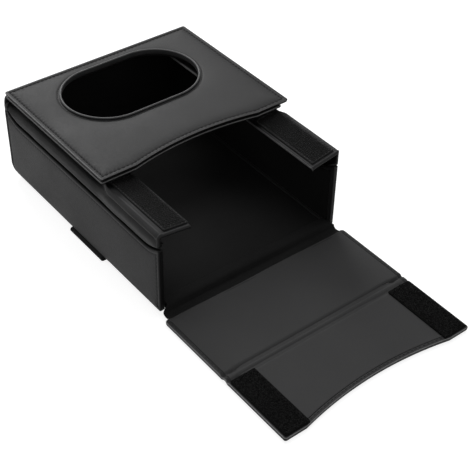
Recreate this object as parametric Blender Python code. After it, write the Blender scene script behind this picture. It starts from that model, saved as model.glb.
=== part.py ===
"""Car tissue holder: a wrapped-board box with an oval mouth and a fold-out front flap.

The box is made of stiff boards wrapped in soft leather and lined on the inside.
+X runs across its width, -Y points out of its front mouth and +Z points up.
The origin lies under the middle of the box, on the flat underside of the elastic strap.
"""

from math import cos, pi, radians, sin, sqrt

import bmesh
import bpy
from mathutils import Matrix, Vector

mm = 0.001

# The box
box_width = 140 * mm
box_length = 181 * mm
box_height = 69.6 * mm  # from the underside of the bottom to the upper face of the top
panel_thick = 4 * mm
side_overhang = 2 * mm  # the top and the flap stand this far past the walls on each side

# What every wrapped panel is made of
leather_thick = 0.9 * mm
turn_in = 2.8 * mm  # the leather that is folded round the board's edge onto the lining side
edge_round = 1.2 * mm
least_round = 0.2 * mm
corner_round = 2.5 * mm
gap = 0.3 * mm  # between pieces that lie against each other

# Side walls, whose upper edge curls up at both ends
wall_drop = 25.1 * mm  # from the upper face of the top down to a wall's upper edge
wall_curl_height = 5 * mm
wall_curl_length = 15 * mm

# Back panel and the folds that join it to the bottom and the top
back_drop = 13.1 * mm  # from the upper face of the top down to the back's upper edge
back_fold_round = 6.5 * mm
fold_thick = 2 * mm
upper_fold_drop = 3 * mm

# Top panel with its oval mouth and its hollowed front edge, on the layer that joins it to the wings
top_thick = 3.3 * mm
top_setback = 10.2 * mm  # from the back of the box to the back edge of the top
top_length = 116.2 * mm
underlay_thick = 1.9 * mm
underlay_round = 0.5 * mm
underlay_left_margin = 0.4 * mm
underlay_right_margin = 5 * mm
underlay_end_margin = 0.6 * mm
mouth_length = 96.6 * mm
mouth_width = 60 * mm
mouth_setback = 40 * mm  # from the back edge of the top to the centre of the mouth
top_hollow_span = 94 * mm
top_hollow_depth = 5.6 * mm

# The turned ring that binds the mouth
binding_thick = 0.9 * mm
binding_lip = 2.1 * mm
binding_round = 0.4 * mm

# Elastic strap across the underside, with both ends folded back and sewn
strap_width = 38.4 * mm
strap_offset = -7.6 * mm
strap_thick = 1.7 * mm
strap_reach = 1.3 * mm  # how far each folded end stands past the wall
strap_fold_back = 18 * mm

# Flap that closes the front: a front panel and a tongue on two leather hinges
flap_start = 7 * mm  # from the front of the box to the near edge of the front panel
hinge_height = 2.6 * mm
tongue_gap = 5 * mm
tongue_hinge_height = 3 * mm
tongue_drop = 7.4 * mm  # from the upper face of the top down to the closed tongue's lining
tongue_clearance = 1.1 * mm  # from the closed tongue to the front edge of the top
tongue_hollow_span = 112 * mm
tongue_hollow_depth = 6.4 * mm
web_thick = 1.3 * mm
hinge_sag = 0.8 * mm

# Wings: padded shelves that stand inside the walls and turn in over the front mouth
wing_leather_thick = 0.6 * mm
wing_pad_thick = 0.7 * mm
wing_root_depth = 12 * mm  # how far a wing reaches down behind its wall
wing_groove = 1.2 * mm
wing_flare_height = 2.2 * mm
wing_flush = 0.2 * mm
wing_flare_round = 4 * mm
wing_shoulder_round = 1 * mm
wing_root_round = 2.5 * mm
wing_outer_drop = 9.2 * mm  # from the upper face of the top down to the shoulder
left_wing_drop = 12.4 * mm  # and down to each shelf's inner edge
right_wing_drop = 13.2 * mm
left_wing_inner_x = 45.6 * mm
right_wing_inner_x = 47.4 * mm
wing_closed_drop = 1.2 * mm  # under the top the shelf rises almost level against it
wing_back_slant = 3.6 * mm  # the shelf ends this far before its root, under the upper fold
wing_rise_start = 12 * mm
wing_rise_length = 34 * mm

# Hook patches on the wings and loop patches on the tongue
patch_thick = 0.6 * mm
patch_width = 18 * mm
patch_round = 1 * mm
hook_front_margin = 2.5 * mm
hook_length = 58 * mm
left_hook_x = 64 * mm  # outer edges
right_hook_x = 67.3 * mm
loop_side_margin = 1.2 * mm
loop_end_margin = 1.1 * mm

corner_steps = 3
arc_steps = 8
mouth_steps = 14
bend_steps = 3
weld_share = 0.01
overrun = 5 * mm  # how far cutters run past what they cut

# Places worked out from the sizes above
box_floor = 2 * strap_thick + 2 * gap
front_y = -box_length / 2
back_y = box_length / 2
half_width = box_width / 2
flap_half_width = half_width + side_overhang
wall_inner_x = half_width - panel_thick
wall_back_y = back_y - panel_thick - gap
wall_height = box_height - wall_drop
top_z = box_floor + box_height
top_back_y = back_y - top_setback
top_front_y = top_back_y - top_length
underlay_z = top_z - top_thick - gap
mouth_y = top_back_y - mouth_setback
hinge_y = front_y - gap - (panel_thick - hinge_height)
flap_near_y = front_y - flap_start
tongue_rise = top_z - tongue_drop - hinge_height + panel_thick - tongue_hinge_height
tongue_hinge_y = hinge_y - tongue_rise
flap_far_y = tongue_hinge_y + tongue_gap / 2
tongue_near_y = tongue_hinge_y - tongue_gap / 2
tongue_reach = top_front_y - tongue_clearance - hinge_y + hinge_height - tongue_hinge_height
tongue_far_y = tongue_hinge_y - tongue_reach
wing_thick = 2 * wing_leather_thick + wing_pad_thick + 2 * gap
wing_front_y = front_y + wing_flush
wing_back_y = wall_back_y - gap
wing_rise_y = top_front_y + wing_rise_start


def clear_scene():
    for thing in list(bpy.data.objects):
        bpy.data.objects.remove(thing, do_unlink=True)


def make_material(name, colour, roughness):
    material = bpy.data.materials.new(name)
    material.use_nodes = True
    shader = material.node_tree.nodes["Principled BSDF"]
    shader.inputs["Base Color"].default_value = (*colour, 1)
    shader.inputs["Roughness"].default_value = roughness
    shader.inputs["Metallic"].default_value = 0
    return material


def make_object(name, mesh, material, pivot=None):
    """A named piece. One that moves hangs on its pivot, with its own origin there."""
    mesh.materials.append(material)
    mesh.shade_smooth()
    mesh.set_sharp_from_angle(angle=radians(35))
    piece = bpy.data.objects.new(name, mesh)
    bpy.context.scene.collection.objects.link(piece)
    if pivot is not None:
        mesh.transform(Matrix.Translation(-pivot.matrix_world.translation))
        piece.parent = pivot
    return piece


def make_pivot(name, place, parent=None):
    pivot = bpy.data.objects.new(name, None)
    bpy.context.scene.collection.objects.link(pivot)
    pivot.location = place
    if parent is not None:
        pivot.parent = parent
        pivot.location = place - parent.matrix_world.translation
    bpy.context.view_layer.update()
    return pivot


def mesh_from(bm, name):
    bmesh.ops.recalc_face_normals(bm, faces=bm.faces)
    if bm.calc_volume(signed=True) < 0:
        bmesh.ops.reverse_faces(bm, faces=bm.faces)
    mesh = bpy.data.meshes.new(name)
    bm.to_mesh(mesh)
    bm.free()
    return mesh


def left_normal(start, end):
    along = (end - start).normalized()
    return Vector((-along.y, along.x))


def rounded(corners, inset=0.0, steps=corner_steps, closed=True):
    """A flat path of (u, v, radius) corners, moved to its left by inset, with each corner rounded."""
    count = len(corners)
    spots = [Vector(corner[:2]) for corner in corners]
    moved = []
    turns = []
    for i, spot in enumerate(spots):
        before = left_normal(spots[i - 1], spot) if closed or i > 0 else None
        after = left_normal(spot, spots[(i + 1) % count]) if closed or i < count - 1 else before
        before = before or after
        moved.append(spot + inset * (before + after) / (1 + before.dot(after)))
        turns.append((before, after))
    points = []
    for i, (place, (before, after)) in enumerate(zip(moved, turns)):
        radius = corners[i][2]
        if not radius:
            points.append(place)
            continue
        bend = before.x * after.y - before.y * after.x
        radius = max(radius - inset, least_round) if bend > 0 else radius + inset
        half = before.angle(after) / 2
        middle = (before + after).normalized()
        centre = place + (1 if bend > 0 else -1) * middle * radius / cos(half)
        for step in range(steps + 1):
            share = step / steps
            spoke = before.slerp(after, share) if half > 0 else before
            points.append(centre - (1 if bend > 0 else -1) * spoke * radius)
    return points


def curve_through(start, pull, end, steps=2 * corner_steps):
    """Points of a smooth curve that leaves start towards pull and comes from there to end."""
    shares = [step / steps for step in range(steps + 1)]
    return [start.lerp(pull, share).lerp(pull.lerp(end, share), share) for share in shares]


def sweep(bm, rings):
    """Extrudes a closed loop of edges from ring to ring, and gives back its first and last points."""
    first = [bm.verts.new(point) for point in rings[0]]
    for i, vert in enumerate(first):
        bm.edges.new((first[i - 1], vert))
    verts = first
    for ring in rings[1:]:
        rim = [bm.edges.get((verts[i - 1], vert)) for i, vert in enumerate(verts)]
        made = bmesh.ops.extrude_edge_only(bm, edges=rim)["geom"]
        fresh = {item for item in made if isinstance(item, bmesh.types.BMVert)}
        links = [[edge.other_vert(vert) for edge in vert.link_edges] for vert in verts]
        verts = [next(other for other in others if other in fresh) for others in links]
        for vert, point in zip(verts, ring):
            vert.co = point
    return first, verts


def grow(bm, rings):
    """A solid through all the rings, closed by a face on the first and on the last."""
    for verts in sweep(bm, rings):
        bm.faces.new(verts)


def solid_of_rings(name, rings):
    bm = bmesh.new()
    grow(bm, rings)
    return mesh_from(bm, name)


def flat_rings(corners, place, section):
    """Rings at each (inset, depth) of a section, on a panel that place puts in the world."""
    return [[place(point.x, point.y, depth) for point in rounded(corners, inset)] for inset, depth in section]


def wrapped_section(thick, skin):
    """The leather round a board: outer face, rounded edge, side, and the margin turned in."""
    quarter = [pi / 2 * step / corner_steps for step in range(corner_steps + 1)]
    outer = [(edge_round * (1 - sin(a)), edge_round * (1 - cos(a))) for a in quarter]
    inner = [(inset, thick - depth) for inset, depth in reversed(outer)]
    cavity = [(turn_in, thick), (turn_in, thick - skin), (skin, thick - skin), (skin, skin)]
    return outer + inner + cavity


def wrapped_panel(name, corners, place, looks, thick=panel_thick, skin=leather_thick, pivot=None, shape=None):
    """A board in its leather cover, with a lining let into the turned-in margin."""
    layers = {
        "cover": wrapped_section(thick, skin),
        "board": [(skin + gap, skin + gap), (skin + gap, thick - skin - gap)],
        "lining": [(turn_in + gap, thick - skin), (turn_in + gap, thick)],
    }
    pieces = []
    for layer, section in layers.items():
        label = f"{name}_{layer}"
        if shape is None:
            mesh = solid_of_rings(label, flat_rings(corners, place, section))
        else:
            mesh = shape(label, corners, section)
        pieces.append(make_object(label, mesh, looks[layer], pivot))
    return pieces


def ribbon(name, path, thick, half_length, material, pivot=None):
    """A strip of leather along X whose cross-section follows a path in (y, z)."""
    corners = [(y, z, 0) for y, z in path]
    left = rounded(corners, thick / 2, closed=False)
    right = rounded(corners, -thick / 2, closed=False)
    loop = left + right[::-1]
    rings = [[Vector((x, point.x, point.y)) for point in loop] for x in (-half_length, half_length)]
    return make_object(name, solid_of_rings(name, rings), material, pivot)


def hollowed_edge(y, span, depth):
    """Corners along an edge at y, from -X to +X, whose middle is drawn in by a shallow arc."""
    radius = (span ** 2 / 4 + depth ** 2) / (2 * depth)
    corners = []
    for step in range(arc_steps + 1):
        x = span * (step / arc_steps - 1 / 2)
        corners.append((x, y + sqrt(radius ** 2 - x ** 2) - (radius - depth), 0))
    return corners


def wall_foot_round():
    """The round at a wall's lower back corner, which just clears the edge of the lower fold."""
    along = back_fold_round - panel_thick - gap
    reach = along + fold_thick + gap
    return reach + sqrt(reach ** 2 - along ** 2 - fold_thick ** 2 + gap ** 2)


def curl(y):
    """How far a wall's upper edge has curled up at y, towards both of its ends."""
    middle = (front_y + wall_back_y) / 2
    reach = (wall_back_y - front_y) / 2
    share = max(0.0, abs(y - middle) - reach + wall_curl_length) / wall_curl_length
    return wall_curl_height * share ** 2


def wall_top(y):
    return box_floor + wall_height + curl(y)


def curl_places():
    """Where the wall's upper edge bends, from its front end to its back end."""
    first = turn_in + 2 * gap
    steps = [first + (wall_curl_length - first) * step / bend_steps for step in range(bend_steps + 1)]
    return [front_y + reach for reach in steps] + [wall_back_y - reach for reach in reversed(steps)]


def make_box(looks):
    floor_corners = [
        (-wall_inner_x + gap, front_y, corner_round),
        (wall_inner_x - gap, front_y, corner_round),
        (wall_inner_x - gap, back_y - back_fold_round - gap, least_round),
        (-wall_inner_x + gap, back_y - back_fold_round - gap, least_round),
    ]
    wrapped_panel("bottom", floor_corners, lambda u, v, w: Vector((u, v, box_floor + w)), looks)

    back_low = box_floor + back_fold_round + gap
    back_high = top_z - back_drop
    back_corners = [
        (-half_width, back_low, least_round),
        (half_width, back_low, least_round),
        (half_width, back_high, corner_round),
        (-half_width, back_high, corner_round),
    ]
    wrapped_panel("back", back_corners, lambda u, v, w: Vector((u, back_y - w, v)), looks)

    wall_corners = [
        (front_y, box_floor, corner_round),
        (wall_back_y, box_floor, wall_foot_round()),
        (wall_back_y, box_floor + wall_height, edge_round),
        *((y, box_floor + wall_height, 0) for y in reversed(curl_places())),
        (front_y, box_floor + wall_height, edge_round),
    ]
    for name, side in (("left_wall", -1), ("right_wall", 1)):

        def on_wall(u, v, w, side=side):
            return Vector((side * (half_width - w), u, v + curl(u) * (v - box_floor) / wall_height))

        wrapped_panel(name, wall_corners, on_wall, looks)


def make_folds(looks):
    """The soft leather corners between the bottom, the back and the top."""
    centre_y = back_y - back_fold_round
    centre_z = box_floor + back_fold_round
    reach = back_fold_round - fold_thick / 2
    turns = [pi / 2 * step / (2 * corner_steps) for step in range(2 * corner_steps + 1)]
    lower = [(centre_y + reach * sin(a), centre_z - reach * cos(a)) for a in turns]
    ribbon("back_lower_fold", lower, fold_thick, half_width, looks["cover"])

    start = Vector((back_y - fold_thick / 2, top_z - back_drop + gap + fold_thick / 2))
    end = Vector((top_back_y + gap + fold_thick / 2, top_z - upper_fold_drop))
    ribbon("back_upper_fold", [start, end], fold_thick, half_width, looks["cover"])


def mouth_ring(offset):
    """The oval of the mouth, a slot with round ends, moved outwards by offset."""
    radius = mouth_width / 2 + offset
    straight = (mouth_length - mouth_width) / 2
    points = []
    for side in (1, -1):
        for step in range(mouth_steps + 1):
            turn = side * (-pi / 2 + pi * step / mouth_steps)
            points.append(Vector((side * (straight + radius * cos(turn)), mouth_y + radius * sin(turn))))
    return points


def make_top(looks):
    corners = [
        (-flap_half_width, top_front_y, corner_round),
        *hollowed_edge(top_front_y, top_hollow_span, top_hollow_depth),
        (flap_half_width, top_front_y, corner_round),
        (flap_half_width, top_back_y, corner_round),
        (-flap_half_width, top_back_y, corner_round),
    ]
    pieces = wrapped_panel("top", corners, lambda u, v, w: Vector((u, v, top_z - w)), looks, top_thick)

    left = -flap_half_width + underlay_left_margin
    right = flap_half_width - underlay_right_margin
    front = top_front_y + underlay_end_margin
    back = top_back_y - underlay_end_margin
    corners = [
        (left, front, corner_round),
        *hollowed_edge(front, top_hollow_span, top_hollow_depth),
        (right, front, corner_round),
        (right, back, corner_round),
        (left, back, corner_round),
    ]
    section = [
        (underlay_round, 0), (0, underlay_round),
        (0, underlay_thick - underlay_round), (underlay_round, underlay_thick),
    ]
    rings = flat_rings(corners, lambda u, v, w: Vector((u, v, underlay_z - w)), section)
    pieces.append(make_object("top_underlay", solid_of_rings("top_underlay", rings), looks["cover"]))

    opening = mouth_ring(binding_thick + gap)
    levels = (top_z + overrun, underlay_z - underlay_thick - overrun)
    rings = [[Vector((point.x, point.y, z)) for point in opening] for z in levels]
    cutter = make_object("mouth_cutter", solid_of_rings("mouth_cutter", rings), looks["cover"])
    cutter.hide_render = True
    cutter.display_type = "WIRE"
    for piece in pieces:
        cut = piece.modifiers.new("mouth", "BOOLEAN")
        cut.operation = "DIFFERENCE"
        cut.object = cutter


def make_binding(looks):
    """A leather ring folded over the edge of the mouth, with a lip above and below the top."""
    high = top_z + gap
    low = underlay_z - underlay_thick - gap
    outside = [
        (0, high + binding_round), (binding_round, high + binding_thick),
        (binding_lip - binding_round, high + binding_thick), (binding_lip, high + binding_round),
        (binding_lip - binding_round, high), (binding_thick, high),
    ]
    section = outside + [(offset, low + high - z) for offset, z in reversed(outside)]
    bm = bmesh.new()
    rings = [[Vector((point.x, point.y, z)) for point in mouth_ring(offset)] for offset, z in section]
    sweep(bm, rings + rings[:1])
    bmesh.ops.remove_doubles(bm, verts=bm.verts, dist=least_round * weld_share)
    make_object("mouth_binding", mesh_from(bm, "mouth_binding"), looks["binding"])


def make_strap(looks):
    """The elastic band: each end is folded back on itself and sewn up under the box."""
    bend = strap_thick + gap / 2
    turns = [pi * step / (2 * corner_steps) for step in range(2 * corner_steps + 1)]
    tip = half_width + strap_reach - bend
    half = [(tip - strap_fold_back, bend + bend - strap_thick / 2)]
    half += [(tip + (bend - strap_thick / 2) * sin(a), bend + (bend - strap_thick / 2) * cos(a)) for a in turns]
    path = half + [(-x, z) for x, z in reversed(half)]
    corners = [(x, z, 0) for x, z in path]
    outer = rounded(corners, -strap_thick / 2, closed=False)
    inner = rounded(corners, strap_thick / 2, closed=False)
    loop = outer + inner[::-1]
    low = strap_offset - strap_width / 2
    high = strap_offset + strap_width / 2
    rings = [[Vector((point.x, y, point.y)) for point in loop] for y in (low, high)]
    make_object("elastic_strap", solid_of_rings("elastic_strap", rings), looks["elastic"])


def make_flap(looks):
    flap_pivot = make_pivot("front_flap_pivot", Vector((0, hinge_y, hinge_height)))
    tongue_pivot = make_pivot("tongue_pivot", Vector((0, tongue_hinge_y, tongue_hinge_height)), flap_pivot)

    def on_floor(u, v, w):
        return Vector((u, v, w))

    front_corners = [
        (-flap_half_width, flap_far_y, least_round),
        (flap_half_width, flap_far_y, least_round),
        (flap_half_width, flap_near_y, corner_round),
        (-flap_half_width, flap_near_y, corner_round),
    ]
    wrapped_panel("front_flap", front_corners, on_floor, looks, pivot=flap_pivot)

    tongue_corners = [
        (-flap_half_width, tongue_far_y, corner_round),
        *hollowed_edge(tongue_far_y, tongue_hollow_span, tongue_hollow_depth),
        (flap_half_width, tongue_far_y, corner_round),
        (flap_half_width, tongue_near_y, least_round),
        (-flap_half_width, tongue_near_y, least_round),
    ]
    wrapped_panel("tongue", tongue_corners, on_floor, looks, pivot=tongue_pivot)

    start = Vector((front_y - gap - web_thick / 4, box_floor + leather_thick + web_thick / 2))
    end = Vector((flap_near_y + 2 * gap, hinge_height - hinge_sag / 2))
    web = curve_through(start, Vector(((start.x + end.x) / 2, end.y)), end)
    ribbon("front_hinge", web, web_thick, wall_inner_x - gap, looks["cover"])

    ends = (flap_far_y - gap, tongue_near_y + gap)
    web = []
    for step in range(2 * corner_steps + 1):
        share = step / (2 * corner_steps)
        dip = hinge_sag * sin(pi * share) ** 2
        web.append((ends[0] + (ends[1] - ends[0]) * share, tongue_hinge_height - dip))
    ribbon("tongue_hinge", web, web_thick, flap_half_width - corner_round, looks["cover"], flap_pivot)

    low = tongue_far_y + loop_end_margin
    high = tongue_near_y - loop_end_margin
    for name, side in (("left_loop_patch", -1), ("right_loop_patch", 1)):
        outer = side * (flap_half_width - loop_side_margin)
        left, right = sorted((outer, outer - side * patch_width))
        corners = [(left, low, patch_round), (right, low, patch_round),
                   (right, high, patch_round), (left, high, patch_round)]
        section = [(0, panel_thick + gap), (0, panel_thick + gap + patch_thick)]
        mesh = solid_of_rings(name, flat_rings(corners, on_floor, section))
        make_object(name, mesh, looks["loop"], tongue_pivot)


def wing_rise(y):
    """0 in front of the top, 1 where the shelf lies against the underside of the top."""
    share = min(1.0, max(0.0, (y - wing_rise_y) / wing_rise_length))
    return share * share * (3 - 2 * share)


def wing_path(y, inner_x, inner_drop):
    """A wing's outer face at y as corners in (|x|, z), from its root behind the wall to its free edge."""
    rise = wing_rise(y)
    under_top = underlay_z - underlay_thick - gap
    flare_z = wall_top(y) + wing_groove
    outer_z = top_z - wing_outer_drop
    outer_z += rise * (under_top - outer_z)
    inner_z = top_z - inner_drop
    inner_z += rise * (under_top - wing_closed_drop - inner_z)
    return [
        (wall_inner_x - gap, box_floor + wall_height - wing_root_depth, 0),
        (wall_inner_x - gap, flare_z, wing_root_round),
        (half_width - wing_flush, flare_z + wing_flare_height, wing_flare_round),
        (half_width - wing_flush, outer_z, wing_shoulder_round),
        (inner_x, inner_z, 0),
    ]


def path_lengths(points):
    lengths = [0.0]
    for before, after in zip(points, points[1:]):
        lengths.append(lengths[-1] + (after - before).length)
    return lengths


def bend_into_wing(bm, side, inner_x, inner_drop):
    """Bends a flat piece whose x runs from a wing's root to its free edge and whose z runs inwards."""
    flat = rounded(wing_path(front_y + wall_curl_length, inner_x, inner_drop), closed=False)
    lengths = path_lengths(flat)
    rises = [wing_rise_y + wing_rise_length * step / arc_steps for step in range(arc_steps + 1)]
    bends = [((along, 0, 0), (1, 0, 0)) for along in lengths[1:-1]]
    bends += [((0, y, 0), (0, 1, 0)) for y in curl_places() + rises]
    for place, across in bends:
        parts = bm.verts[:] + bm.edges[:] + bm.faces[:]
        bmesh.ops.bisect_plane(bm, geom=parts, dist=least_round * weld_share, plane_co=place, plane_no=across)
    for vert in bm.verts:
        along, y, depth = vert.co
        path = wing_path(y, inner_x, inner_drop)
        outer = rounded(path, closed=False)
        inner = rounded(path, wing_thick, closed=False)
        index = max(i for i in range(len(flat) - 1) if i == 0 or lengths[i] <= along)
        share = (along - lengths[index]) / (lengths[index + 1] - lengths[index])
        skin = outer[index].lerp(outer[index + 1], share)
        spot = skin.lerp(inner[index].lerp(inner[index + 1], share), depth / wing_thick)
        vert.co = (side * spot.x, y, spot.y)


def make_wing(name, side, inner_x, inner_drop, hook_x, looks):

    def bent(label, outline, section):
        bm = bmesh.new()
        grow(bm, flat_rings(outline, lambda u, v, w: Vector((u, v, w)), section))
        bend_into_wing(bm, side, inner_x, inner_drop)
        return mesh_from(bm, label)

    lengths = path_lengths(rounded(wing_path(front_y + wall_curl_length, inner_x, inner_drop), closed=False))
    flare, shoulder = lengths[-3 - corner_steps], lengths[-2 - corner_steps]
    edge = lengths[-1]
    corners = [
        (0, wing_front_y, least_round), (edge, wing_front_y, edge_round),
        (edge, wing_back_y - wing_back_slant, least_round),
        (shoulder, wing_back_y - wing_back_slant, least_round),
        (flare, wing_back_y, least_round), (0, wing_back_y, least_round),
    ]
    wrapped_panel(f"{name}_wing", corners, None, looks, wing_thick, wing_leather_thick, shape=bent)

    slope = (inner_drop - wing_outer_drop) / (half_width - wing_flush - inner_x)
    low = edge - (hook_x - inner_x) * sqrt(1 + slope ** 2)
    front = wing_front_y + hook_front_margin
    corners = [
        (low, front, patch_round), (low + patch_width, front, patch_round),
        (low + patch_width, front + hook_length, patch_round), (low, front + hook_length, patch_round),
    ]
    label = f"{name}_hook_patch"
    make_object(label, bent(label, corners, [(0, -gap), (0, -gap - patch_thick)]), looks["hook"])


def make_tissue_holder():
    clear_scene()
    leather = make_material("black leather", (0.018, 0.018, 0.019), 0.5)
    looks = {
        "cover": leather,
        "binding": make_material("binding leather", (0.022, 0.022, 0.023), 0.42),
        "board": make_material("grey board", (0.21, 0.19, 0.17), 0.9),
        "lining": make_material("lining leather", (0.014, 0.014, 0.015), 0.7),
        "hook": make_material("hook tape", (0.006, 0.006, 0.006), 0.85),
        "loop": make_material("loop tape", (0.008, 0.008, 0.008), 0.95),
        "elastic": make_material("elastic webbing", (0.007, 0.007, 0.007), 0.85),
    }
    make_box(looks)
    make_folds(looks)
    make_top(looks)
    make_binding(looks)
    make_strap(looks)
    make_wing("left", -1, left_wing_inner_x, left_wing_drop, left_hook_x, looks)
    make_wing("right", 1, right_wing_inner_x, right_wing_drop, right_hook_x, looks)
    make_flap(looks)


make_tissue_holder()
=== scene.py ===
"""The look of a car tissue holder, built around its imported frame.

It is a box of stiff boards wrapped in black leather, with an oval mouth in its top and an
open front that a folding flap closes. The sections follow the object as it is put together.
"""

from math import cos, exp, hypot, pi, sin, sqrt

import bmesh
import bpy
import numpy as np
from mathutils import Matrix, Vector, noise
from mathutils.geometry import delaunay_2d_cdt


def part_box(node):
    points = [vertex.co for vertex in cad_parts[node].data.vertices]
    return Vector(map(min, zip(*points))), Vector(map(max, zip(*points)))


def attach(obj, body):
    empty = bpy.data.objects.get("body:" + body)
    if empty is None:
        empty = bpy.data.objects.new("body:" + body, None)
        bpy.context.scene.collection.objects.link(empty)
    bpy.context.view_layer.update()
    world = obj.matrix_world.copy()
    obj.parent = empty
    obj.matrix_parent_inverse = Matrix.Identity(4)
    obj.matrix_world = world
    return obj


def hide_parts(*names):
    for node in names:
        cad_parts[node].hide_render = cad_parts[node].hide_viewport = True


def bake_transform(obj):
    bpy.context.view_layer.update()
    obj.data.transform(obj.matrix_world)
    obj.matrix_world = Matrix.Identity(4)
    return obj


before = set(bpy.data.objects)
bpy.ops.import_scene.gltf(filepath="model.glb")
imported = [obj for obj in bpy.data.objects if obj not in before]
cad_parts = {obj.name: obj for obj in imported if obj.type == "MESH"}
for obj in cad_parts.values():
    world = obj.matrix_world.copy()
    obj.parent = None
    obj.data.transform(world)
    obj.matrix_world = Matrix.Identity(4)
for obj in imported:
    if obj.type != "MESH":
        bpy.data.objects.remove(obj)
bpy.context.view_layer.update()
mm = 0.001

# The photographer's table: a pale floor under soft lamps, seen from above and from the left
# of the open front. The key lamp hangs over the back right corner of the box.
view_turn, view_tilt, view_roll = -0.674606212, 0.706730025, 0.0218477543
eye = Vector((-0.345531646, -0.505963112, 0.491391961))
photo_side, focal_pixels, film_side = 470, 1145.09071, 36
level = Vector((cos(view_turn), sin(view_turn), 0))
ahead = Vector((-sin(view_turn) * cos(view_tilt), cos(view_turn) * cos(view_tilt), -sin(view_tilt)))
upward = level.cross(ahead)
across = cos(view_roll) * level + sin(view_roll) * upward
upright = cos(view_roll) * upward - sin(view_roll) * level
studio = bpy.context.scene
lens = bpy.data.cameras.new("camera")
lens.sensor_width = film_side
lens.lens = focal_pixels / photo_side * film_side
camera = bpy.data.objects.new("camera", lens)
camera.matrix_world = Matrix.Translation(eye) @ Matrix((across, upright, -ahead)).transposed().to_4x4()
studio.collection.objects.link(camera)
studio.camera = camera
studio.view_settings.view_transform = "Standard"

box_middle = Vector((0, -0.03, 0.03))
lamps = {
    "key": ((0.32, 0.85, 0.72), 0.50, 7.0),
    "overhead": ((0.10, 0.05, 1.10), 0.80, 4.4),
    "side fill": ((-0.40, 0.50, 0.30), 0.50, 0.9),
    "front fill": ((0.10, -1.00, 0.70), 0.80, 0.7),
}
for name, (place, width, power) in lamps.items():
    lamp = bpy.data.lights.new(name, "AREA")
    lamp.shape = "DISK"
    lamp.size = width
    lamp.energy = power
    holder = bpy.data.objects.new(name, lamp)
    holder.location = place
    holder.rotation_euler = (box_middle - holder.location).to_track_quat("-Z", "Y").to_euler()
    studio.collection.objects.link(holder)


def add(tree, kind, sockets=None, **settings):
    """A node with its settings. A socket takes a value, another socket, or a node's first output."""
    node = tree.nodes.new(kind)
    for key, value in settings.items():
        setattr(node, key, value)
    for key, value in (sockets or {}).items():
        if isinstance(value, bpy.types.Node):
            value = value.outputs[0]
        if isinstance(value, bpy.types.NodeSocket):
            tree.links.new(value, node.inputs[key])
        else:
            node.inputs[key].default_value = value
    return node


def maths(tree, operation, *values):
    """A node that works one sum out of these values, sockets and nodes."""
    return add(tree, "ShaderNodeMath", dict(enumerate(values)), operation=operation)


def seen_directly(tree):
    """1 for the camera and for what gloss and glass show of a pale surround."""
    path = add(tree, "ShaderNodeLightPath").outputs
    direct = maths(tree, "MAXIMUM", path["Is Camera Ray"], path["Is Glossy Ray"])
    return maths(tree, "MAXIMUM", direct, path["Is Transmission Ray"])


ambient, white = 0.16, (1, 1, 1, 1)
world = bpy.data.worlds.new("surround")
world.use_nodes = True
air = world.node_tree
sky = air.nodes["Background"].inputs
sky["Color"].default_value = white
glow = maths(air, "MULTIPLY_ADD", seen_directly(air), 1 - ambient, ambient)
air.links.new(glow.outputs[0], sky["Strength"])
studio.world = world

half_floor, floor_colour, floor_glow = 3.0, (0.4, 0.4, 0.4, 1), 0.86
paper = bpy.data.materials.new("pale floor")
paper.use_nodes = True
paper_shader = paper.node_tree.nodes["Principled BSDF"].inputs
for socket, value in (("Base Color", floor_colour), ("Roughness", 1), ("Specular IOR Level", 0),
                      ("Emission Color", white)):
    paper_shader[socket].default_value = value
lit = maths(paper.node_tree, "MULTIPLY", seen_directly(paper.node_tree), floor_glow)
paper.node_tree.links.new(lit.outputs[0], paper_shader["Emission Strength"])
floor_mesh = bpy.data.meshes.new("floor")
floor_mesh.from_pydata([(x * half_floor, y * half_floor, 0) for x, y in ((-1, -1), (1, -1), (1, 1), (-1, 1))],
                       [], [(0, 1, 2, 3)])
floor_mesh.materials.append(paper)
floor = bpy.data.objects.new("floor", floor_mesh)
studio.collection.objects.link(floor)

# The top: a board under thin foam, wrapped in satin black leather that is turned in round its
# edges and sewn down all round, so that the leather swells inside the seam and puckers at it.
leather_thick, turn_in = 0.9 * mm, 2.8 * mm
seam_inset, stitch_pitch, seam_depth, pucker_depth = 2.7 * mm, 3 * mm, 0.12 * mm, 0.22 * mm
swell, swell_reach = 0.8 * mm, 4 * mm
panel_step = 0.75 * mm
face_insets = (4.6, 4.0, 3.6, 3.2, 2.9, 2.7, 2.5, 2.2, 1.9, 1.6)
top_hollow_span, top_hollow_depth = 94 * mm, 5.6 * mm
mouth_length, mouth_width, mouth_setback = 96.6 * mm, 60 * mm, 40 * mm
mouth_seam, mouth_groove = 2.75 * mm, (0, 0.5, -0.14)
mouth_dip, mouth_dip_reach = 0.55 * mm, 3.5 * mm
# An edge is a quarter oval: how far in it starts, how deep it goes, and its wear and painted highlight when
# positive, its painted shade when negative.
plain_edge = (0.9 * mm, 0.9 * mm, 0.42 * mm)
# The top's ridge edge gets a strong painted highlight with its wear, and its under edge painted shade.
ridge_edge = (0.9 * mm, 0.9 * mm, 1.0 * mm)
under_edge = (2.2 * mm, 2.6 * mm, -1.8 * mm)
surface = {"Colour": "Color", "Roughness": "Float", "Height": "Float"}


def new_group(name, inputs, outputs, kind="ShaderNodeTree"):
    """An empty node group with its inputs, given by their values or kinds, and its outputs' kinds."""
    tree = bpy.data.node_groups.new(name, kind)
    for label, value in inputs.items():
        known = {tuple: "Color", float: "Float", int: "Int"}.get(type(value), value)
        made = tree.interface.new_socket(label, in_out="INPUT", socket_type=f"NodeSocket{known}")
        if known != value:
            made.default_value = value
    for label, known in outputs.items():
        tree.interface.new_socket(label, in_out="OUTPUT", socket_type=f"NodeSocket{known}")
    return tree, add(tree, "NodeGroupInput").outputs


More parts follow.
